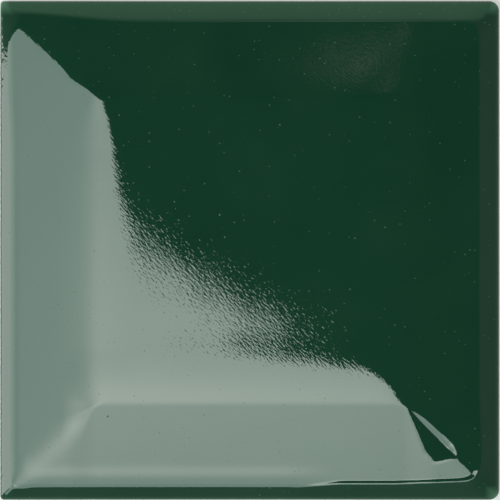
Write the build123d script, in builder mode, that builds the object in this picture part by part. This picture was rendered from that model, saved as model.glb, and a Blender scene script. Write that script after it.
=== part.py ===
from build123d import *
import math
import os

# Square bevelled wall tile, pressed and glazed as one ceramic piece.
# The tile lies on its back: X and Y run along its sides and +Z points out of the glazed face.
# The origin is the middle of the back. Sizes are in millimetres and angles in degrees.

# Outline
tile_side = 100.0  # square outline, seen from the front
tile_thickness = 8.0  # from the back to the raised field
corner_radius = 2.0  # corners of the outline

# Glazed face, from the outline inwards
rim_width = 3.3  # plan width of the border that slopes from the bevel to the side
rim_drop = 1.5  # fall of that border
bevel_width = 16.2  # plan width of the bevel
bevel_drop = 2.4  # fall of the bevel from the field to the border
rim_corner_radius = 3.0  # corners of the line between the bevel and the border
field_corner_radius = 3.0  # corners of the raised field, where two bevels meet in a mitre
field_edge_radius = 18.0  # softened line between the field and the bevel
rim_edge_radius = 4.0  # softened line between the bevel and the border
arris_radius = 1.0  # rounded edge between the border and the side

# Side and back
land_height = 1.6  # upright band at the top of the side
side_draft = 4.0  # taper of the side below that band, which lets the pressed tile out of its die
foot_chamfer = 0.5  # small slope between the side and the back, which keeps the edge from chipping
back_border = 5.0  # least plain margin round the hollows in the back
cell_side = 9.0  # mouth of one square hollow, where the adhesive keys in
cell_depth = 0.8  # depth of a hollow
cell_draft = 20.0  # slope of a hollow's walls
rib_width = 2.2  # rib between two hollows

# Heights of the lines that run round the tile
field_height = tile_thickness
rim_height = field_height - bevel_drop
side_height = rim_height - rim_drop
draft_height = side_height - land_height

# Sides of the square outlines at those heights
foot_side = tile_side - 2 * (draft_height - foot_chamfer) * math.tan(math.radians(side_draft))
back_side = foot_side - 2 * foot_chamfer
rim_side = tile_side - 2 * rim_width
field_side = rim_side - 2 * bevel_width

# Square outlines that the tile's faces span, from the back up: height, side and corner radius
outlines = [
    (0.0, back_side, corner_radius - foot_chamfer),
    (foot_chamfer, foot_side, corner_radius),
    (draft_height, tile_side, corner_radius),
    (side_height, tile_side, corner_radius),
    (rim_height, rim_side, rim_corner_radius),
    (field_height, field_side, field_corner_radius),
]

# Rounding of the lines round the face: height and radius
softened_lines = [
    (field_height, field_edge_radius),
    (rim_height, rim_edge_radius),
    (side_height, arris_radius),
]
height_tolerance = 0.001

# Hollows in the back: as many as fit inside the border, in an even number so that a rib crosses the middle
cell_pitch = cell_side + rib_width
cells_per_row = 2 * int((back_side - 2 * back_border + rib_width) / (2 * cell_pitch))

with BuildPart() as tile:
    # Pressed body: chamfered foot, drafted side, upright band, sloping border, mitred bevels and raised field
    for height, side, radius in outlines:
        with BuildSketch(Plane.XY.offset(height)):
            RectangleRounded(side, side, radius)
    loft(ruled=True)

    # Pressing and glaze leave no line of the face sharp
    for height, radius in softened_lines:
        lowest = height - height_tolerance
        highest = height + height_tolerance
        fillet(tile.edges().filter_by_position(Axis.Z, lowest, highest), radius)

    # Waffle of shallow hollows that keys the back to its bed of adhesive
    with BuildSketch(Plane.XY):
        with GridLocations(cell_pitch, cell_pitch, cells_per_row, cells_per_row):
            Rectangle(cell_side, cell_side)
    extrude(amount=cell_depth, taper=cell_draft, mode=Mode.SUBTRACT)

tile.part.label = "bevelled_tile"

os.makedirs("parts", exist_ok=True)
export_step(tile.part, "parts/bevelled_tile.step")

volume = tile.part.volume / 1000
print(f"bevelled_tile {tile.part.bounding_box().size}, {volume:.2f} cm3, {cells_per_row} hollows in a row")
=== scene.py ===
import math

import bpy
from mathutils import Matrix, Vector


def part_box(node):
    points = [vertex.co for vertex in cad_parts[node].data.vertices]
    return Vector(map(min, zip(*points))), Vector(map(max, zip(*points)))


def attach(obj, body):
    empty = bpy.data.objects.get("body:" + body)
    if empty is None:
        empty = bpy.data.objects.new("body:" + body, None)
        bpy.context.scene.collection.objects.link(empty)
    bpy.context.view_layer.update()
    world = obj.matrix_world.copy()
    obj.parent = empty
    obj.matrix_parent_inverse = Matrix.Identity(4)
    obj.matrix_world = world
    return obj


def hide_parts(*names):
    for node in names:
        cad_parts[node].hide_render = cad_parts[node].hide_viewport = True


# Square bevelled wall tile in a dark green gloss glaze, lying on its back.
# The origin is the middle of the back, X and Y run along the sides and Z points out of the glazed face.
# Lengths are in metres, worked out from sizes in millimetres.
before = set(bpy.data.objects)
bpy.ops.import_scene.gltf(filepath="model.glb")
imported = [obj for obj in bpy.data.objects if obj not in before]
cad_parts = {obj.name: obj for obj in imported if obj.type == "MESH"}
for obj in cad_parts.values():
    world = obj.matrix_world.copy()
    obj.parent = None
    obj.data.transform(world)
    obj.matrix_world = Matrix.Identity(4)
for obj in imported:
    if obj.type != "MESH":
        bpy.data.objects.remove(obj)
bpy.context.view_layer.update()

MM = 0.001
MATH = "ShaderNodeMath"
VECTOR = "ShaderNodeVectorMath"
MAP_RANGE = "ShaderNodeMapRange"
NOISE = "ShaderNodeTexNoise"
SPLIT = "ShaderNodeSeparateXYZ"
STORE = "GeometryNodeStoreNamedAttribute"
COMPARE = "FunctionNodeCompare"

# The tile's own box
tile_low, tile_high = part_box("bevelled_tile")
tile_side = tile_high.x - tile_low.x
tile_thickness = tile_high.z

# Section of the glazed face, from the outline inwards
section_sizes = {
    "Tile side": tile_side,
    "Tile thickness": tile_thickness,
    "Rim width": 3.3 * MM,
    "Lower rim width": 2.75 * MM,  # the die and the glaze leave the left and bottom rims narrower
    "Upper rim width": 4.05 * MM,  # and the top and right rims wider
    "Rim taper": 1.2 * MM,  # narrowing of the rim at the upper left corner
    "Rim drop": 1.5 * MM,
    "Bevel width": 16.2 * MM,
    "Bevel drop": 2.4 * MM,
    "Arris softness": 0.9 * MM,  # reach of the rounding between the rim and the side
    "Left corner radius": 0.8 * MM,  # corners of the outline
    "Right corner radius": 2.0 * MM,
}

# Rounding where two bevels meet in a mitre
mitre_sizes = {
    "Mitre softness": 5.5 * MM,  # plan reach of the rounding at the field
    "Corner softness": 5.2 * MM,  # and at the outline
    "Tight corner": 1.0 * MM,  # the second of these at the lower left
    "Tight corner length": 4.0 * MM,  # stretch of bevel over which it gets there
    "Slack corner": 4.5 * MM,  # how much more of it at the upper left
    "Mitre fade": 0.8 * MM,  # fall from which the rounding is whole, since it fades out towards the field
    "Tight mitre fade": 0.6 * MM,  # and at the lower left
}

# Rounding between the field and the bevels: the left and right ridges are soft, the top and bottom ones firm
ridge_sizes = {
    "Firm ridge": 0.07 * MM,  # height taken by the rounding along the top and bottom
    "Right ridge": 1.95 * MM,
    "Upper left ridge": 1.05 * MM,
    "Lower left ridge": 1.65 * MM,
    "Upper left from": 25.0 * MM,  # heights in the plan between which the left ridge changes
    "Lower left from": -20.0 * MM,
    "Left to right": 5.0 * MM,  # stretch each side of the middle in which left changes to right
    "Soft ridge until": 20.0 * MM,  # a soft ridge firms up from here
    "Firm ridge from": 32.5 * MM,  # to here, towards its corners
    "Ridge core": 0.6 * MM,  # height taken by the firmer middle of a soft ridge
    "Ridge tail share": 0.46,  # share of the fall that the whole rounding gives, the middle gives the rest
}

# Rounding between the bevels and the rim, and the glaze that gathers at the lower one of these creases
crease_sizes = {
    "Left crease": 0.5 * MM,  # height taken by the rounding
    "Lower crease": 0.25 * MM,
    "Crisp crease": 0.1 * MM,  # along the top and right
    "Left to lower": 8.0 * MM,  # stretch each side of the lower left mitre in which one changes to the other
    "Low side from": 40.0 * MM,  # the lower side's own glaze comes in between these distances off the middle
    "Low side whole": 44.0 * MM,
    "Crease bead": 0.06 * MM,  # broad bead of glaze inside the crease
    "Bead place": 2.0 * MM,  # how far inside
    "Bead width": 1.1 * MM,
    "Shelf from": 8.0 * MM,  # towards the right the glaze stands level there instead
    "Shelf whole": 18.0 * MM,
    "Shelf width": 1.25 * MM,
    "Shelf slope": 0.09,  # rise outwards
    "Shelf softness": 0.02 * MM,
    "Shelf crispness": 0.13 * MM,  # height taken off the crease's rounding
}

# Uneven field: it sags between left and right, falls towards the lower ridge and swells up before it
field_sizes = {
    "Field hollow": 0.19 * MM,
    "Hollow softness": 0.3,  # share of the way to the ridge over which the sag levels out
    "Lower roll": 0.36 * MM,
    "Roll power": 8.0,  # how late the roll sets in
    "Roll end": 7.0 * MM,  # distance past the left and right ridges where roll and swell have faded out
    "Swell line": 17.4 * MM,
    "Swell slope": 0.0125,
    "Swell softness": 5.0 * MM,
    "Glaze waves": 0.012 * MM,
}

# Flat dent along the lower right mitre, measured along the mitre from the tile's middle and across it
dent_sizes = {
    "Dent from": 44.4 * MM,
    "Dent widest": 53.4 * MM,
    "Dent closing": 55.6 * MM,
    "Dent end": 59.2 * MM,
    "Dent width": 4.4 * MM,
    "Least dent width": 0.02 * MM,
    "Dent slope": 0.165,  # fall of its floor
    "Floor power": 1.33,  # how hollow the floor is
    "Steep wall share": 0.4,  # share of the depth that a steep little wall makes up
    "Steep wall": 0.29 * MM,  # plan width of that wall
    "Steep wall growth": 0.15,  # and how it grows with the dent
    "Easy wall share": 0.6,  # an easy slope makes up the rest
    "Easy wall": 9.0 * MM,
}

# Thin glaze, with a painted sheen on the top rim in the same measure: 0 where the glaze lies full, 1 where
# it is gone
thin_and_sheen_sizes = {
    "Thin crease": 0.01,
    "Thin crease reach": 0.5 * MM,
    "Painted top sheen from": 46.0 * MM,  # painted sheen on the top rim: its paler glaze colour grows between these heights in the plan
    "Painted top sheen to": 49.6 * MM,
    "Painted top sheen least": 0.11,
    "Painted top sheen most": 0.18,
    "Painted top sheen inside": -0.45 * MM,  # its start, from just inside the crease
    "Painted top sheen outside": 0.55 * MM,  # to just outside
    "Painted top sheen mitre": 0.6 * MM,  # its ends, this far each side of the mitres
    "Thin corner": 0.4,
    "Thin tight corner": 0.05,
    "Thin corner from": 0.8 * MM,  # distance from the outline where a corner's glaze is thinnest
    "Thin corner to": 3.0 * MM,
    "Thin arris": 0.1,
    "Thin arris reach": 0.8 * MM,
    "Thin chip": 0.15,
}

# Side and back
back_sizes = {
    "Side height": 4.1 * MM,
    "Land height": 1.6 * MM,  # upright band at the top of the side
    "Side draft": math.tan(math.radians(4.0)),
    "Foot chamfer": 0.5 * MM,
    "Glaze end": 2.2 * MM,  # how far the glaze runs down the side
    "Glaze end waves": 1.3 * MM,
    "Glaze end fade": 1.8 * MM,  # how far above and below that end its waves reach
    "Glaze thickness": 0.22 * MM,
    "Edge chips": 0.22 * MM,  # depth of the chips along the left arris
    "Chip core": 0.2 * MM,  # distance from the arris with their full depth
    "Chip reach": 0.7 * MM,
    "Chip end": 1.0 * MM,  # stretch in which they stop at the corners
    "Cell pitch": 11.2 * MM,
    "Cell side": 9.0 * MM,
    "Cell corner": 0.6 * MM,
    "Cell lip": 0.15 * MM,  # worn edge of a hollow
    "Cell depth": 0.8 * MM,
    "Cell draft": math.tan(math.radians(20.0)),
}
cells_in_a_row = 8
back_edge_angle = math.radians(25.0)  # sharper edges than this are shaded as edges

# Lines across the face at 45 degrees, as shares of half a side: the lower and left sides lie before the
# first, the upper and right ones past the second, and the last three mark off the left corners
line_shares = {"lower": -0.35, "upper": 0.35, "mitre": -0.8, "rim corner": -1.3, "outline corner": -2.0}

# Widths of the random patterns in the shape
wave_size = 9 * MM
chip_size = 1.0 * MM
run_size = 10 * MM
noise_middle = 0.5  # a noise runs from 0 to 1 about this level
chip_from, chip_whole = 0.5, 0.7  # levels of the noise between which a chip deepens

# Mesh of the face: how many lattice lines cross each stretch from the middle to the foot,
# finest at the crease
lattice_steps = [(41, 29.0 * MM), (40, 14.0 * MM), (46, 6.0 * MM), (17, 5.1 * MM)]
weld_distance = 0.002 * MM


def add(tree, kind, inputs=(), **settings):
    """Adds a node, sets it up, and fills or links its inputs, given in order or by name.

    A node given as an input stands for its first output.
    """
    node = tree.nodes.new(kind)
    for key, value in settings.items():
        setattr(node, key, value)
    for key, value in inputs.items() if isinstance(inputs, dict) else enumerate(inputs):
        if isinstance(value, bpy.types.Node):
            value = value.outputs[0]
        if isinstance(value, bpy.types.NodeSocket):
            tree.links.new(value, node.inputs[key])
        else:
            node.inputs[key].default_value = value
    return node


def linear(hex_colour):
    """An sRGB hex colour as linear red, green, blue and alpha."""
    channels = [int(hex_colour[place:place + 2], 16) / 255 for place in (1, 3, 5)]
    return [c / 12.92 if c <= 0.04045 else ((c + 0.055) / 1.055) ** 2.4 for c in channels] + [1.0]


def new_material(name):
    """An empty node material, its tree, its surface shader and its object coordinates."""
    material = bpy.data.materials.new(name)
    material.use_nodes = True
    tree = material.node_tree
    tree.nodes.clear()
    shader = add(tree, "ShaderNodeBsdfPrincipled")
    add(tree, "ShaderNodeOutputMaterial", {"Surface": shader})
    place = add(tree, "ShaderNodeTexCoord").outputs["Object"]
    return material, tree, shader, place


# Materials


def green_gloss_glaze():
    """Earthenware glaze, coloured green in the melt and fired to a gloss.

    The eye gets a deep bottle green under a mirror that ripples like orange peel, lighter where the melt ran
    thinly over the edges and where a sheen is painted on the top rim, pale where it is chipped, with pale
    dots painted as the glints of tiny bumps and small pits painted dark as their shade.
    """
    material, tree, shader, place = new_material("green_gloss_glaze")
    cloud_size = 14 * MM
    cloud_share = 0.04
    ripple_size = 0.33 * MM
    ripple_length = 0.95 * MM
    ripple_depth = 0.0029 * MM
    run_turn = (0.0, 0.0, math.radians(45.0))
    grid_tilt = (0.5, 0.3, 0.9)
    dot_edge = 0.3  # share of a dot's largest radius over which it fades in
    clear_gloss, dull_dot = 0.02, 0.6

    # Colour: deep where the glaze lies full, paler where it ran thin and where a sheen is painted on the top
    # rim, the body's own where it is gone
    thin_and_sheen = add(tree, "ShaderNodeAttribute", attribute_name="glaze_thin_and_top_sheen").outputs["Fac"]
    cloud = add(tree, NOISE, {"Vector": place, "Scale": 1 / cloud_size, "Detail": 2.0})
    clouded = add(tree, MATH, (cloud, cloud_share, thin_and_sheen), operation="MULTIPLY_ADD")
    body = add(tree, "ShaderNodeValToRGB", (clouded,))
    stops = body.color_ramp.elements
    stops[0].position, stops[0].color = 0.0, linear("#113727")
    stops[1].position, stops[1].color = 1.0, linear("#C6CCBC")
    stops.new(0.5).color = linear("#547A62")

    # Pale specks painted as the glints of tiny bumps in the melt, and now and then a pinhole painted dark as
    # the shade
    # in its pit: dull dots of random size in random places, given as spacing, largest radius, share of
    # places left empty and colour
    glint_specks = (1.0 * MM, 0.15 * MM, 0.45, "#4C6558")
    shaded_pinholes = (14 * MM, 0.3 * MM, 0.5, "#16291F")
    dull = None
    colour = body
    for spacing, largest, empty, tone in (glint_specks, shaded_pinholes):
        cells = add(tree, "ShaderNodeTexVoronoi", {"Vector": place, "Scale": 1 / spacing})
        chance = add(tree, "ShaderNodeSeparateColor", (cells.outputs["Color"],))
        radius = add(tree, MAP_RANGE, {
            "Value": chance.outputs["Red"], "From Min": empty, "From Max": 1.0, "To Max": largest / spacing})
        inside = add(tree, MATH, (radius, cells.outputs["Distance"]), operation="SUBTRACT")
        dot = add(tree, MAP_RANGE, {"Value": inside, "From Max": dot_edge * largest / spacing})
        mixed = add(tree, "ShaderNodeMix", {0: dot, 6: colour, 7: linear(tone)}, data_type="RGBA")
        colour = mixed.outputs[2]
        dull = dot if dull is None else add(tree, MATH, (dull, dot), operation="MAXIMUM")
    tree.links.new(colour, shader.inputs["Base Color"])
    rough = add(tree, MAP_RANGE, {"Value": dull, "To Min": clear_gloss, "To Max": dull_dot})
    tree.links.new(rough.outputs["Result"], shader.inputs["Roughness"])

    # Ripple of the melt, drawn out along the diagonal on which it ran and tilted off the noise's own grid
    turned = add(tree, "ShaderNodeVectorRotate", {
        "Vector": place, "Rotation": run_turn}, rotation_type="EULER_XYZ")
    drawn_out = add(tree, VECTOR, (turned, (ripple_size / ripple_length, 1.0, 1.0)), operation="MULTIPLY")
    tilted = add(tree, "ShaderNodeVectorRotate", {
        "Vector": drawn_out, "Rotation": grid_tilt}, rotation_type="EULER_XYZ")
    ripple = add(tree, NOISE, {"Vector": tilted, "Scale": 1 / ripple_size, "Detail": 1.0, "Roughness": 0.4})
    bump = add(tree, "ShaderNodeBump", {"Height": ripple, "Distance": ripple_depth})
    tree.links.new(bump.outputs["Normal"], shader.inputs["Normal"])
    shader.inputs["IOR"].default_value = 1.62
    return material


def pressed_biscuit():
    """White-burning earthenware, dust-pressed and fired once: matt, chalky and finely grained to the eye."""
    material, tree, shader, place = new_material("pressed_biscuit")
    cloud_size = 6 * MM
    grain_size = 0.35 * MM  # real grit is under 0.1 mm, too fine to show, so it is drawn coarser
    grain_depth = 0.02 * MM
    cloud = add(tree, NOISE, {"Vector": place, "Scale": 1 / cloud_size, "Detail": 5.0})
    body = add(tree, "ShaderNodeValToRGB", (cloud,))
    stops = body.color_ramp.elements
    stops[0].position, stops[0].color = 0.3, linear("#C9BBA4")
    stops[1].position, stops[1].color = 0.7, linear("#DCD1BE")
    tree.links.new(body.outputs["Color"], shader.inputs["Base Color"])
    grain = add(tree, NOISE, {"Vector": place, "Scale": 1 / grain_size, "Detail": 3.0})
    bump = add(tree, "ShaderNodeBump", {"Height": grain, "Distance": grain_depth})
    tree.links.new(bump.outputs["Normal"], shader.inputs["Normal"])
    shader.inputs["Roughness"].default_value = 0.85
    return material


# The glazed face


def ridge_falls(tree, size, x, y, x_away, y_away, ridge, bevel_slope):
    """Falls of the left and right bevels and of the top and bottom ones, each rounded off at its ridge."""
    left_ridge = add(tree, MAP_RANGE, {
        "Value": y, "From Min": size["Upper left from"], "From Max": size["Lower left from"],
        "To Min": size["Upper left ridge"], "To Max": size["Lower left ridge"]})
    left_of_middle = add(tree, MATH, (size["Left to right"], -1.0), operation="MULTIPLY")
    either_ridge = add(tree, MAP_RANGE, {
        "Value": x, "From Min": left_of_middle, "From Max": size["Left to right"],
        "To Min": left_ridge, "To Max": size["Right ridge"]})
    side_ridge = add(tree, MAP_RANGE, {
        "Value": y_away, "From Min": size["Soft ridge until"], "From Max": size["Firm ridge from"],
        "To Min": either_ridge, "To Max": size["Firm ridge"]})
    falls = []
    for away, softness in ((x_away, side_ridge), (y_away, size["Firm ridge"])):
        past_ridge = add(tree, MATH, (away, ridge), operation="SUBTRACT")
        sharp_fall = add(tree, MATH, (past_ridge, bevel_slope), operation="MULTIPLY")
        tail = add(tree, MATH, (sharp_fall, 0.0, softness), operation="SMOOTH_MAX")
        core_soft = add(tree, MATH, (softness, size["Ridge core"]), operation="MINIMUM")
        core = add(tree, MATH, (sharp_fall, 0.0, core_soft), operation="SMOOTH_MAX")
        more = add(tree, MATH, (tail, core), operation="SUBTRACT")
        falls.append(add(tree, MATH, (more, size["Ridge tail share"], core), operation="MULTIPLY_ADD"))
    return falls


def uneven_field(tree, size, surface, plan, x_away, below, ridge):
    """The surface with its field sagging, swelling and rolling over, and slow waves of the melt all over."""
    aside = add(tree, MATH, (x_away, ridge), operation="DIVIDE")
    aside_most = add(tree, MATH, (aside, 1.0, size["Hollow softness"]), operation="SMOOTH_MIN")
    aside_share = add(tree, MATH, (aside_most, aside_most), operation="MULTIPLY")
    lifted = add(tree, MATH, (aside_share, size["Field hollow"], surface), operation="MULTIPLY_ADD")
    hollow = add(tree, MATH, (lifted, size["Field hollow"]), operation="SUBTRACT")

    fade_end = add(tree, MATH, (ridge, size["Roll end"]), operation="ADD")
    on_field = add(tree, MAP_RANGE, {
        "Value": x_away, "From Min": fade_end, "From Max": ridge}, interpolation_type="SMOOTHSTEP")
    lowness = add(tree, MATH, (below, ridge), operation="DIVIDE", use_clamp=True)
    roll_shape = add(tree, MATH, (lowness, size["Roll power"]), operation="POWER")
    roll = add(tree, MATH, (roll_shape, size["Lower roll"]), operation="MULTIPLY")
    field_below = add(tree, MATH, (below, ridge), operation="MINIMUM")
    past_swell = add(tree, MATH, (field_below, size["Swell line"]), operation="SUBTRACT")
    swell = add(tree, MATH, (past_swell, 0.0, size["Swell softness"]), operation="SMOOTH_MAX")
    swell_rise = add(tree, MATH, (swell, size["Swell slope"]), operation="MULTIPLY")
    change = add(tree, MATH, (swell_rise, roll), operation="SUBTRACT")
    swollen = add(tree, MATH, (change, on_field, hollow), operation="MULTIPLY_ADD")

    wave = add(tree, NOISE, {"Vector": plan, "Scale": 1 / wave_size, "Detail": 0.0})
    wave_depth = add(tree, MATH, (wave, size["Glaze waves"]), operation="MULTIPLY")
    return add(tree, MATH, (swollen, wave_depth), operation="SUBTRACT")


def mitre_dent(tree, size, rising, falling):
    """Depth of the dent along the lower right mitre, which widens outwards and ends short of the outline."""
    diagonal = math.sqrt(0.5)
    least_share = 1e-4
    across = add(tree, MATH, (rising, diagonal), operation="MULTIPLY")
    along = add(tree, MATH, (falling, diagonal), operation="MULTIPLY")
    opening = add(tree, MAP_RANGE, {
        "Value": along, "From Min": size["Dent from"], "From Max": size["Dent widest"]})
    closing = add(tree, MAP_RANGE, {
        "Value": along, "From Min": size["Dent end"], "From Max": size["Dent closing"]},
        interpolation_type="SMOOTHSTEP")
    share = add(tree, MATH, (opening, closing), operation="MULTIPLY")
    width = add(tree, MATH, (share, size["Dent width"], size["Least dent width"]), operation="MULTIPLY_ADD")

    # Floor that falls towards the mitre, then a steep wall and an easy one up to the other bevel
    from_edge = add(tree, MATH, (across, width), operation="ADD")
    edge_share = add(tree, MATH, (from_edge, width), operation="DIVIDE", use_clamp=True)
    floor = add(tree, MATH, (edge_share, size["Floor power"]), operation="POWER")
    wall_width = add(
        tree, MATH, (width, size["Steep wall growth"], size["Steep wall"]), operation="MULTIPLY_ADD")
    steep_wall = add(tree, MAP_RANGE, {
        "Value": across, "From Max": wall_width, "To Min": size["Steep wall share"], "To Max": 0.0})
    easy_wall = add(tree, MAP_RANGE, {
        "Value": across, "From Max": size["Easy wall"], "To Min": size["Easy wall share"], "To Max": 0.0},
        interpolation_type="SMOOTHSTEP")
    wall = add(tree, MATH, (steep_wall, easy_wall), operation="ADD")
    form = add(tree, MATH, (floor, wall), operation="MULTIPLY")
    fall = add(tree, MATH, (width, size["Dent slope"]), operation="MULTIPLY")
    deepest = add(tree, MATH, (fall, closing), operation="MULTIPLY")
    begun = add(tree, MATH, (share, least_share), operation="GREATER_THAN")
    deepest_here = add(tree, MATH, (deepest, begun), operation="MULTIPLY")
    return add(tree, MATH, (form, deepest_here), operation="MULTIPLY")


def thin_glaze_and_top_sheen(tree, size, y, x_away, nearer, half, crease, past_crease, low_left):
    """How thinly the glaze lies on the face, where it runs off the crease and wears at corners, with a sheen
    painted on the top rim as paler glaze.
    """
    off_crease = add(tree, MATH, (past_crease,), operation="ABSOLUTE")
    thin_crease = add(tree, MAP_RANGE, {
        "Value": off_crease, "From Max": size["Thin crease reach"],
        "To Min": size["Thin crease"], "To Max": 0.0})
    # Painted sheen on the top rim: the glaze colour turns paler there, more towards the outline, standing in
    # for the light the rim reflects
    top_sheen_level = add(tree, MAP_RANGE, {
        "Value": y, "From Min": size["Painted top sheen from"], "From Max": size["Painted top sheen to"],
        "To Min": size["Painted top sheen least"], "To Max": size["Painted top sheen most"]})
    off_mitres = add(tree, MATH, (y, x_away), operation="SUBTRACT")
    before_mitre = add(tree, MATH, (size["Painted top sheen mitre"], -1.0), operation="MULTIPLY")
    sheen_on_top = add(tree, MAP_RANGE, {
        "Value": off_mitres, "From Min": before_mitre, "From Max": size["Painted top sheen mitre"],
        "To Max": top_sheen_level})
    past_top_crease = add(tree, MATH, (y, crease), operation="SUBTRACT")
    painted_top_sheen = add(tree, MAP_RANGE, {
        "Value": past_top_crease, "From Min": size["Painted top sheen inside"], "From Max": size["Painted top sheen outside"],
        "To Max": sheen_on_top})
    corner_depth = add(tree, MATH, (half, nearer), operation="SUBTRACT")
    thin_most = add(tree, MAP_RANGE, {
        "Value": low_left, "To Min": size["Thin corner"], "To Max": size["Thin tight corner"]})
    thin_corner = add(tree, MAP_RANGE, {
        "Value": corner_depth, "From Min": size["Thin corner from"], "From Max": size["Thin corner to"],
        "To Min": thin_most, "To Max": 0.0})
    pale_edge = add(tree, MATH, (thin_crease, painted_top_sheen), operation="MAXIMUM")
    return add(tree, MATH, (pale_edge, thin_corner), operation="MAXIMUM")


def face_height(tree, size, plan, flat):
    """Height of the glazed face over a point of the plan, and how thinly its glaze lies there, with the
    sheen painted on the top rim.

    The point is given as it is and with its signs dropped.
    """
    half = add(tree, MATH, (size["Tile side"], 0.5), operation="MULTIPLY")
    outer = add(tree, MATH, (half, size["Rim width"]), operation="SUBTRACT")
    ridge = add(tree, MATH, (outer, size["Bevel width"]), operation="SUBTRACT")
    x, y = add(tree, SPLIT, (plan,)).outputs[:2]
    x_away, y_away = add(tree, SPLIT, (flat,)).outputs[:2]
    below = add(tree, MATH, (y, -1.0), operation="MULTIPLY")
    farther = add(tree, MATH, (x_away, y_away), operation="MAXIMUM")
    nearer = add(tree, MATH, (x_away, y_away), operation="MINIMUM")

    # Where the point lies: on the lower and left sides or the upper and right ones, or at a left mitre
    rising = add(tree, MATH, (x, y), operation="ADD")
    falling = add(tree, MATH, (x, y), operation="SUBTRACT")
    line = {}
    for name, share in line_shares.items():
        line[name] = add(tree, MATH, (half, share), operation="MULTIPLY")
    rim_width = add(tree, MAP_RANGE, {
        "Value": rising, "From Min": line["lower"], "From Max": line["upper"],
        "To Min": size["Lower rim width"], "To Max": size["Upper rim width"]})
    low_left = add(tree, MAP_RANGE, {
        "Value": rising, "From Min": line["mitre"], "From Max": line["rim corner"]})
    up_left = add(tree, MAP_RANGE, {
        "Value": falling, "From Min": line["rim corner"], "From Max": line["outline corner"]},
        interpolation_type="SMOOTHSTEP")

    # Rings of the section, as distances from the middle, on squares whose corners round off outwards
    even_corner = add(tree, MAP_RANGE, {
        "Value": low_left, "To Min": size["Corner softness"], "To Max": size["Tight corner"]})
    outline_corner = add(tree, MATH, (up_left, size["Slack corner"], even_corner), operation="MULTIPLY_ADD")
    tight_from = add(tree, MATH, (outer, size["Tight corner length"]), operation="SUBTRACT")
    change_from = add(tree, MAP_RANGE, {"Value": low_left, "To Min": ridge, "To Max": tight_from})
    change_to = add(tree, MAP_RANGE, {"Value": low_left, "To Min": half, "To Max": outer})
    corner_soft = add(tree, MAP_RANGE, {
        "Value": farther, "From Min": change_from, "From Max": change_to,
        "To Min": size["Mitre softness"], "To Max": outline_corner})
    ring = add(tree, MATH, (x_away, y_away, corner_soft), operation="SMOOTH_MAX")
    even_crease = add(tree, MATH, (half, rim_width), operation="SUBTRACT")
    crease = add(tree, MATH, (up_left, size["Rim taper"], even_crease), operation="MULTIPLY_ADD")

    # Rim, sloping down from the crease
    bevel_slope = add(tree, MATH, (size["Bevel drop"], size["Bevel width"]), operation="DIVIDE")
    rim_slope = add(tree, MATH, (size["Rim drop"], size["Rim width"]), operation="DIVIDE")
    crease_reach = add(tree, MATH, (crease, ridge), operation="SUBTRACT")
    crease_fall = add(tree, MATH, (crease_reach, bevel_slope), operation="MULTIPLY")
    crease_height = add(tree, MATH, (size["Tile thickness"], crease_fall), operation="SUBTRACT")
    past_crease = add(tree, MATH, (ring, crease), operation="SUBTRACT")
    rim_fall = add(tree, MATH, (past_crease, rim_slope), operation="MULTIPLY")
    rim = add(tree, MATH, (crease_height, rim_fall), operation="SUBTRACT")

    # Field and bevels, rounded together where two bevels meet in a mitre
    falls = ridge_falls(tree, size, x, y, x_away, y_away, ridge, bevel_slope)
    mitre_soft = add(tree, MAP_RANGE, {
        "Value": low_left, "To Min": corner_soft, "To Max": size["Mitre softness"]})
    mitre_height = add(tree, MATH, (mitre_soft, bevel_slope), operation="MULTIPLY")
    lesser_fall = add(tree, MATH, falls, operation="MINIMUM")
    whole_from = add(tree, MAP_RANGE, {
        "Value": low_left, "To Min": size["Mitre fade"], "To Max": size["Tight mitre fade"]})
    at_mitre = add(tree, MAP_RANGE, {
        "Value": lesser_fall, "From Max": whole_from}, interpolation_type="SMOOTHSTEP")
    mitre_here = add(tree, MATH, (mitre_height, at_mitre), operation="MULTIPLY")
    fall = add(tree, MATH, (*falls, mitre_here), operation="SMOOTH_MAX")
    raised = add(tree, MATH, (size["Tile thickness"], fall), operation="SUBTRACT")

    # Towards its right end the glaze stands level just inside the lower crease
    low_side = add(tree, MAP_RANGE, {
        "Value": below, "From Min": size["Low side from"], "From Max": size["Low side whole"]})
    to_right = add(tree, MAP_RANGE, {
        "Value": x, "From Min": size["Shelf from"], "From Max": size["Shelf whole"]})
    shelf_share = add(tree, MATH, (low_side, to_right), operation="MULTIPLY")
    shelf_rise = add(tree, MATH, (size["Shelf width"], bevel_slope), operation="MULTIPLY")
    down_or_up = add(tree, MAP_RANGE, {"Value": shelf_share, "To Min": -1.0, "To Max": 1.0})
    shelf_start = add(tree, MATH, (shelf_rise, down_or_up, crease_height), operation="MULTIPLY_ADD")
    past_shelf = add(tree, MATH, (past_crease, size["Shelf width"]), operation="ADD")
    shelf = add(tree, MATH, (past_shelf, size["Shelf slope"], shelf_start), operation="MULTIPLY_ADD")
    shelved = add(tree, MATH, (raised, shelf, size["Shelf softness"]), operation="SMOOTH_MAX")

    # Crease between all that and the rim
    before_mitre = add(tree, MATH, (size["Left to lower"], -1.0), operation="MULTIPLY")
    low_crease = add(tree, MAP_RANGE, {
        "Value": falling, "From Min": before_mitre, "From Max": size["Left to lower"],
        "To Min": size["Left crease"], "To Max": size["Lower crease"]})
    even_soft = add(tree, MAP_RANGE, {
        "Value": rising, "From Min": line["lower"], "From Max": line["upper"],
        "To Min": low_crease, "To Max": size["Crisp crease"]})
    taken_off = add(tree, MATH, (shelf_share, size["Shelf crispness"]), operation="MULTIPLY")
    crease_soft = add(tree, MATH, (even_soft, taken_off), operation="SUBTRACT")
    even_face = add(tree, MATH, (shelved, rim, crease_soft), operation="SMOOTH_MIN")
    face = uneven_field(tree, size, even_face, plan, x_away, below, ridge)

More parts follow.
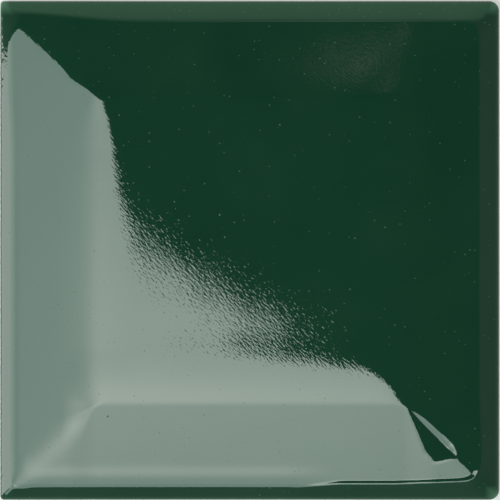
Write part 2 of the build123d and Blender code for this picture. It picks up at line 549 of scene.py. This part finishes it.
    # Glaze gathered inside the rest of the lower crease, in a bell curve
    off_bead = add(tree, MATH, (past_crease, size["Bead place"]), operation="ADD")
    widths_off = add(tree, MATH, (off_bead, size["Bead width"]), operation="DIVIDE")
    squared = add(tree, MATH, (widths_off, widths_off), operation="MULTIPLY")
    bead_form = add(tree, MATH, (math.exp(-0.5), squared), operation="POWER")
    bead_share = add(tree, MATH, (low_side, shelf_share), operation="SUBTRACT")
    bead = add(tree, MATH, (bead_form, bead_share), operation="MULTIPLY")
    beaded = add(tree, MATH, (bead, size["Crease bead"], face), operation="MULTIPLY_ADD")

    dent = mitre_dent(tree, size, rising, falling)
    height = add(tree, MATH, (beaded, dent), operation="SUBTRACT")
    thin_and_sheen = thin_glaze_and_top_sheen(tree, size, y, x_away, nearer, half, crease, past_crease, low_left)
    return height, thin_and_sheen


# The tile


def glazed_shell(tree, size):
    """A square sheet folded over the face and down the sides, open at the back."""
    half = add(tree, MATH, (size["Tile side"], 0.5), operation="MULTIPLY")

    # Sheet: square rings of lattice lines, spaced in steps
    lines_out = sum(lines for lines, stretch in lattice_steps)
    lines_across = 2 * lines_out + 1
    sheet = add(tree, "GeometryNodeMeshGrid", {
        "Size X": 2.0 * lines_out, "Size Y": 2.0 * lines_out,
        "Vertices X": lines_across, "Vertices Y": lines_across})
    place = add(tree, "GeometryNodeInputPosition")
    place_x = add(tree, SPLIT, (place,)).outputs["X"]
    side_of = add(tree, VECTOR, (place,), operation="SIGN")
    line = add(tree, VECTOR, (place,), operation="ABSOLUTE")
    path = None
    line_from = 0.0
    for lines, stretch in lattice_steps:
        line_to = line_from + lines
        step = add(tree, MAP_RANGE, {
            "Vector": line, 7: [line_from] * 3, 8: [line_to] * 3, 9: [0.0] * 3, 10: [stretch] * 3},
            data_type="FLOAT_VECTOR").outputs["Vector"]
        path = step if path is None else add(tree, VECTOR, (path, step), operation="ADD").outputs[0]
        line_from = line_to
    path_x, path_y = add(tree, SPLIT, (path,)).outputs[:2]
    ring = add(tree, MATH, (path_x, path_y), operation="MAXIMUM")

    # A ring past the outline folds down the side
    outline = add(tree, MATH, (ring, half, size["Arris softness"]), operation="SMOOTH_MIN")
    past_outline = add(tree, MATH, (ring, half), operation="SUBTRACT")
    off_arris = add(tree, MATH, (past_outline,), operation="ABSOLUTE")
    down = add(tree, MATH, (past_outline, 0.0, size["Arris softness"]), operation="SMOOTH_MAX")
    share_down = add(tree, MATH, (down, size["Side height"]), operation="DIVIDE")

    # Side: upright land, then draft, then the foot's chamfer, all set back under the end of the glaze
    past_land = add(tree, MATH, (down, size["Land height"]), operation="SUBTRACT")
    drafted = add(tree, MATH, (past_land, 0.0), operation="MAXIMUM")
    draft_inset = add(tree, MATH, (drafted, size["Side draft"]), operation="MULTIPLY")
    foot_line = add(tree, MATH, (size["Side height"], size["Foot chamfer"]), operation="SUBTRACT")
    past_foot = add(tree, MATH, (down, foot_line), operation="SUBTRACT")
    foot_inset = add(tree, MATH, (past_foot, 0.0), operation="MAXIMUM")
    bare_from = add(tree, MATH, (size["Glaze end"], size["Glaze thickness"]), operation="ADD")
    bare_inset = add(tree, MAP_RANGE, {
        "Value": down, "From Min": size["Glaze end"], "From Max": bare_from,
        "To Max": size["Glaze thickness"]},
        interpolation_type="SMOOTHSTEP")
    pressed_inset = add(tree, MATH, (draft_inset, foot_inset), operation="ADD")
    inset = add(tree, MATH, (pressed_inset, bare_inset), operation="ADD")

    # Chips along the left arris
    off_corner = add(tree, MATH, (path_x, path_y), operation="SUBTRACT")
    on_sides = add(tree, MAP_RANGE, {"Value": off_corner, "From Max": size["Chip end"]})
    on_left = add(tree, MAP_RANGE, {"Value": place_x, "From Min": 1.0, "From Max": -1.0, "To Max": on_sides})
    along = add(tree, VECTOR, (path, side_of), operation="MULTIPLY")
    up_the_side = add(tree, VECTOR, (along, (0.0, 1.0, 0.0)), operation="MULTIPLY")
    chip_noise = add(tree, NOISE, {"Vector": up_the_side, "Scale": 1 / chip_size, "Detail": 2.0})
    chip = add(tree, MAP_RANGE, {"Value": chip_noise, "From Min": chip_from, "From Max": chip_whole})
    on_arris = add(tree, MAP_RANGE, {
        "Value": off_arris, "From Min": size["Chip reach"], "From Max": size["Chip core"]})
    left_chip = add(tree, MATH, (chip, on_left), operation="MULTIPLY")
    chipped = add(tree, MATH, (left_chip, on_arris), operation="MULTIPLY")
    chip_inset = add(tree, MATH, (chipped, size["Edge chips"], inset), operation="MULTIPLY_ADD")
    reach = add(tree, MATH, (outline, chip_inset), operation="SUBTRACT")

    # Plan of the ring: a square with its corners rounded, less at the left than at the right
    outline_radius = add(tree, MAP_RANGE, {
        "Value": place_x, "From Min": -1.0, "To Min": size["Left corner radius"],
        "To Max": size["Right corner radius"]})
    corner = add(tree, MATH, (outline_radius, reach), operation="MINIMUM")
    scale = add(tree, MATH, (reach, ring), operation="DIVIDE")
    square = add(tree, VECTOR, {"Vector": path, "Scale": scale}, operation="SCALE")
    inner = add(tree, MATH, (reach, corner), operation="SUBTRACT")
    core = add(tree, VECTOR, (square, inner), operation="MINIMUM")
    past_core = add(tree, VECTOR, (square, core), operation="SUBTRACT")
    turn = add(tree, VECTOR, (past_core,), operation="NORMALIZE")
    flat = add(tree, VECTOR, (turn, corner, core), operation="MULTIPLY_ADD")
    plan = add(tree, VECTOR, (flat, side_of), operation="MULTIPLY")

    # Height, brought down the side to the back, with a wavy end to the glaze
    face, face_thin_and_sheen = face_height(tree, size, plan, flat)
    left_up = add(tree, MATH, (1.0, share_down), operation="SUBTRACT")
    folded = add(tree, MATH, (face, left_up), operation="MULTIPLY")
    run = add(tree, NOISE, {"Vector": plan, "Scale": 1 / run_size, "Detail": 2.0})
    run_off = add(tree, MATH, (run, noise_middle), operation="SUBTRACT")
    past_end = add(tree, MATH, (down, size["Glaze end"]), operation="SUBTRACT")
    off_end = add(tree, MATH, (past_end,), operation="ABSOLUTE")
    near_end = add(tree, MAP_RANGE, {
        "Value": off_end, "From Max": size["Glaze end fade"], "To Min": 1.0, "To Max": 0.0},
        interpolation_type="SMOOTHSTEP")
    run_shift = add(tree, MATH, (run_off, size["Glaze end waves"]), operation="MULTIPLY")
    shift = add(tree, MATH, (run_shift, near_end), operation="MULTIPLY")
    height = add(tree, MATH, (folded, shift), operation="ADD")
    plan_x, plan_y = add(tree, SPLIT, (plan,)).outputs[:2]
    target = add(tree, "ShaderNodeCombineXYZ", (plan_x, plan_y, height))

    # Glaze runs thin over the arris too, and ends on the side
    thin_arris = add(tree, MAP_RANGE, {
        "Value": off_arris, "From Max": size["Thin arris reach"],
        "To Min": size["Thin arris"], "To Max": 0.0})
    pale_edge = add(tree, MATH, (chipped, size["Thin chip"], thin_arris), operation="MULTIPLY_ADD")
    # The face's thinness carries the painted sheen on the top rim as well
    thin_and_sheen = add(tree, MATH, (face_thin_and_sheen, pale_edge), operation="MAXIMUM")
    with_thin = add(tree, STORE, {
        "Geometry": sheet, "Name": "glaze_thin_and_top_sheen", "Value": thin_and_sheen}, data_type="FLOAT", domain="POINT")
    below_end = add(tree, COMPARE, {"A": down, "B": size["Glaze end"]}, operation="GREATER_THAN")
    with_bare = add(tree, STORE, {
        "Geometry": with_thin, "Name": "bare", "Value": below_end}, data_type="BOOLEAN", domain="FACE")
    return add(tree, "GeometryNodeSetPosition", {"Geometry": with_bare, "Position": target})


def pressed_back(tree, size, shell):
    """The back that closes the shell: a plate with a mouth for each hollow, and the hollows themselves."""
    corner_points = 3
    rectangle = add(tree, "GeometryNodeCurvePrimitiveQuadrilateral", {
        "Width": size["Cell side"], "Height": size["Cell side"]}, mode="RECTANGLE")
    mouth = add(tree, "GeometryNodeFilletCurve", {
        "Curve": rectangle, "Count": corner_points, "Radius": size["Cell corner"]}, mode="POLY")
    hollow = add(tree, "GeometryNodeFillCurve", {"Curve": mouth}, mode="NGONS")

    # Each hollow starts with a worn lip and narrows down its drafted walls
    wall_depth = add(tree, MATH, (size["Cell depth"], size["Cell lip"]), operation="SUBTRACT")
    wall_inset = add(tree, MATH, (wall_depth, size["Cell draft"]), operation="MULTIPLY")
    width = size["Cell side"]
    for depth, slope_in in ((size["Cell lip"], size["Cell lip"]), (wall_depth, wall_inset)):
        deeper = add(tree, "GeometryNodeExtrudeMesh", {
            "Mesh": hollow, "Offset Scale": depth, "Individual": False}, mode="FACES")
        narrower = add(tree, MATH, (slope_in, -2.0, width), operation="MULTIPLY_ADD")
        ratio = add(tree, MATH, (narrower, width), operation="DIVIDE")
        hollow = add(tree, "GeometryNodeScaleElements", {
            "Geometry": deeper.outputs["Mesh"], "Selection": deeper.outputs["Top"], "Scale": ratio},
            domain="FACE")
        width = narrower

    # A mouth and a hollow at each place
    span = add(tree, MATH, (size["Cell pitch"], cells_in_a_row - 1.0), operation="MULTIPLY")
    centres = add(tree, "GeometryNodeMeshGrid", {
        "Size X": span, "Size Y": span, "Vertices X": cells_in_a_row, "Vertices Y": cells_in_a_row})
    placed = []
    for shape in (mouth, hollow):
        copies = add(tree, "GeometryNodeInstanceOnPoints", {"Points": centres, "Instance": shape})
        placed.append(add(tree, "GeometryNodeRealizeInstances", (copies,)))
    mouths, hollows = placed

    # Plate between the shell's open border and the mouths
    faces_beside = add(tree, "GeometryNodeInputMeshEdgeNeighbors")
    border_edge = add(tree, COMPARE, {2: faces_beside, 3: 1}, data_type="INT", operation="EQUAL")
    border = add(tree, "GeometryNodeMeshToCurve", {"Mesh": shell, "Selection": border_edge})
    lines = add(tree, "GeometryNodeJoinGeometry")
    for curve in (border, mouths):
        tree.links.new(curve.outputs[0], lines.inputs[0])
    plate = add(tree, "GeometryNodeFillCurve", {"Curve": lines}, mode="TRIANGLES")
    inside_out = add(tree, "GeometryNodeJoinGeometry")
    for piece in (plate, hollows):
        tree.links.new(piece.outputs[0], inside_out.inputs[0])
    back = add(tree, "GeometryNodeFlipFaces", {"Mesh": inside_out})
    return add(tree, STORE, {
        "Geometry": back, "Name": "bare", "Value": True}, data_type="BOOLEAN", domain="FACE")


def tile_tree(sizes, glaze, biscuit):
    """Geometry nodes that make the tile as one closed piece, smooth but for the edges of the back."""
    tree = bpy.data.node_groups.new("bevelled_tile", "GeometryNodeTree")
    tree.interface.new_socket("Tile", in_out="OUTPUT", socket_type="NodeSocketGeometry")
    for name in sizes:
        tree.interface.new_socket(name, in_out="INPUT", socket_type="NodeSocketFloat")
    size = add(tree, "NodeGroupInput").outputs
    shell = glazed_shell(tree, size)
    back = pressed_back(tree, size, shell)
    whole = add(tree, "GeometryNodeJoinGeometry")
    for piece in (shell, back):
        tree.links.new(piece.outputs[0], whole.inputs[0])
    welded = add(tree, "GeometryNodeMergeByDistance", {"Geometry": whole, "Distance": weld_distance})
    smooth = add(tree, "GeometryNodeSetShadeSmooth", {
        "Geometry": welded, "Shade Smooth": True}, domain="FACE")
    edge_angle = add(tree, "GeometryNodeInputMeshEdgeAngle")
    sharp = add(tree, COMPARE, {"A": edge_angle, "B": back_edge_angle}, operation="GREATER_THAN")
    edged = add(tree, "GeometryNodeSetShadeSmooth", {
        "Geometry": smooth, "Selection": sharp, "Shade Smooth": False}, domain="EDGE")
    realized = add(tree, "GeometryNodeRealizeInstances", (edged,))
    glazed = add(tree, "GeometryNodeSetMaterial", {"Geometry": realized, "Material": glaze})
    is_bare = add(tree, "GeometryNodeInputNamedAttribute", {"Name": "bare"}, data_type="BOOLEAN")
    finished = add(tree, "GeometryNodeSetMaterial", {
        "Geometry": glazed, "Selection": is_bare, "Material": biscuit})
    add(tree, "NodeGroupOutput", (finished,))
    return tree


def make_tile():
    """The glazed tile as one plain mesh."""
    sizes = {**section_sizes, **mitre_sizes, **ridge_sizes, **crease_sizes, **field_sizes, **dent_sizes,
             **thin_and_sheen_sizes, **back_sizes}
    tree = tile_tree(sizes, green_gloss_glaze(), pressed_biscuit())
    tile = bpy.data.objects.new("glazed_tile", bpy.data.meshes.new("glazed_tile"))
    bpy.context.scene.collection.objects.link(tile)
    modifier = tile.modifiers.new("tile", "NODES")
    modifier.node_group = tree
    for socket in tree.interface.items_tree:
        if socket.in_out == "INPUT":
            modifier[socket.identifier] = sizes[socket.name]
    shown = tile.evaluated_get(bpy.context.evaluated_depsgraph_get())
    mesh = bpy.data.meshes.new_from_object(shown)
    tile.modifiers.remove(modifier)
    tile.data = mesh
    return tile


# Stage


def make_plane(name, corners, height, material):
    """A flat staged surface through these corners, at one height."""
    mesh = bpy.data.meshes.new(name)
    mesh.from_pydata([(x, y, height) for x, y in corners], [], [range(len(corners))])
    mesh.materials.append(material)
    plane = bpy.data.objects.new(name, mesh)
    bpy.context.scene.collection.objects.link(plane)
    return plane


def make_floor():
    """Plain pale floor just under the tile, lit a little from within so that its shadows stay faint."""
    reach = 4.0
    floor_height = -0.05 * MM
    material, _, shader, _ = new_material("pale_floor")
    shader.inputs["Base Color"].default_value = linear("#B8B5B4")
    shader.inputs["Emission Color"].default_value = linear("#FBFFFB")
    shader.inputs["Emission Strength"].default_value = 0.4
    shader.inputs["Roughness"].default_value = 0.9
    corners = [(-reach, -reach), (reach, -reach), (reach, reach), (-reach, reach)]
    make_plane("floor", corners, floor_height, material)


def glow(name, colour, strength, spots=()):
    """A light's own surface: an even glow, and white spots that fade away from their middles.

    A spot is its middle, its strength there and the reach of its fading.
    """
    material = bpy.data.materials.new(name)
    material.use_nodes = True
    tree = material.node_tree
    tree.nodes.clear()
    place = add(tree, "ShaderNodeTexCoord").outputs["Object"]
    level = add(tree, VECTOR, (place, (1.0, 1.0, 0.0)), operation="MULTIPLY")
    light = add(tree, "ShaderNodeEmission", {"Color": linear(colour), "Strength": strength})
    for middle, spot_strength, reach in spots:
        away = add(tree, VECTOR, (level, (*middle, 0.0)), operation="DISTANCE").outputs["Value"]
        share = add(tree, MATH, (away, reach), operation="DIVIDE")
        square = add(tree, MATH, (share, share), operation="MULTIPLY")
        fade = add(tree, MATH, (math.exp(-1.0), square), operation="POWER")
        power = add(tree, MATH, (fade, spot_strength), operation="MULTIPLY")
        spot = add(tree, "ShaderNodeEmission", {"Color": linear("#FFFAF0"), "Strength": power})
        light = add(tree, "ShaderNodeAddShader", (light, spot))
    add(tree, "ShaderNodeOutputMaterial", {"Surface": light})
    return material


def make_lights():
    """A broad softbox over the lower left whose edge ends just beside the tile, with a window beyond it.

    A faint far lamp throws a fan of light on the top bevel. The lights' places are in metres.
    """
    height = 1.2
    cool_white = "#E1FFF5"
    window_white = "#F6FFF8"

    # Softbox: its edge passes the tile's middle at 45 degrees and turns away from it beyond a bend
    slant = 0.031
    bend = 0.073
    right_end, low_end = 0.3, -1.1
    wall, wall_top, wall_low = -1.35, 0.11, -0.27
    softbox_corners = [
        (right_end, -slant - right_end), (-slant - bend, bend), (-0.35, 0.232), (wall, wall_top),
        (wall, wall_low), (-0.5, low_end), (right_end, low_end)]
    softbox_spots = [((-0.1, -0.22), 3.5, 0.28), ((wall, 0.0), 1.75, 0.5), ((-0.29, -0.055), 0.6, 0.15)]
    cloth = glow("softbox_cloth", cool_white, 2.95, softbox_spots)
    softbox = make_plane("softbox", softbox_corners, height, cloth)

    # Window: upright on the wall at the softbox's far end, made lying down and then turned up
    sill = -0.05
    window_corners = [(-height, wall_low), (sill, wall_low), (sill, wall_top), (-height, wall_top)]
    window = make_plane("window", window_corners, 0.0, glow("window_light", window_white, 4.5))
    window.rotation_euler = (0.0, math.radians(90.0), 0.0)
    window.location = (wall, 0.0, 0.0)

    # Far lamp: the fan's body and left point, the arm at its upper right, its tail, and a bar beyond them
    lamp_corners = [(-0.5, 0.3), (0.3, 0.3), (0.3, 0.9), (-0.5, 0.9)]
    lamp_spots = [
        ((0.035, 0.459), 0.46, 0.0075), ((0.023, 0.461), 0.14, 0.008),
        ((0.048, 0.466), 0.14, 0.005), ((0.062, 0.4725), 0.36, 0.006),
        ((0.051, 0.4485), 0.36, 0.0055), ((0.036, 0.68), 1.1, 0.06)]
    lamp = make_plane("far_lamp", lamp_corners, height, glow("lamp_glow", cool_white, 0.0, lamp_spots))
    for light in (softbox, window, lamp):
        light.visible_camera = False


def make_room():
    """A dim room: dark overhead, lighter towards the horizon, a little darker at the far side."""
    dark_from, light_from = 0.93, 0.3
    horizon = 1.7
    far_side = 0.85
    near_level, far_level = 0.27, 0.24
    world = bpy.data.worlds.new("dim_room")
    bpy.context.scene.world = world
    world.use_nodes = True
    tree = world.node_tree
    tree.nodes.clear()
    direction = add(tree, SPLIT, (add(tree, "ShaderNodeTexCoord").outputs["Generated"],))
    lowness = add(tree, MAP_RANGE, {
        "Value": direction.outputs["Z"], "From Min": dark_from, "From Max": light_from, "To Max": horizon})
    level = add(tree, MAP_RANGE, {
        "Value": direction.outputs["Y"], "From Max": far_side, "To Min": near_level, "To Max": far_level})
    power = add(tree, MATH, (lowness, level), operation="MULTIPLY")
    room = add(tree, "ShaderNodeBackground", {"Strength": power})
    add(tree, "ShaderNodeOutputWorld", {"Surface": room})


def make_camera():
    """Straight above the tile, through a long lens, with the outline a pixel inside the frame."""
    frame_pixels, outline_pixels = 500.0, 498.7
    outline_height = 3.0 * MM
    off_right, off_up = 0.05 * MM, 0.08 * MM
    data = bpy.data.cameras.new("camera")
    data.lens, data.sensor_width = 300.0, 36.0
    data.clip_start, data.clip_end = 0.01, 20.0
    camera = bpy.data.objects.new("camera", data)
    seen_width = tile_side * frame_pixels / outline_pixels
    camera.location = (off_right, off_up, outline_height + seen_width * data.lens / data.sensor_width)
    bpy.context.scene.collection.objects.link(camera)
    bpy.context.scene.camera = camera
    bpy.context.scene.view_settings.view_transform = "Standard"


tile = make_tile()
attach(tile, "root")
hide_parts("bevelled_tile")
make_floor()
make_lights()
make_room()
make_camera()

bpy.context.view_layer.update()
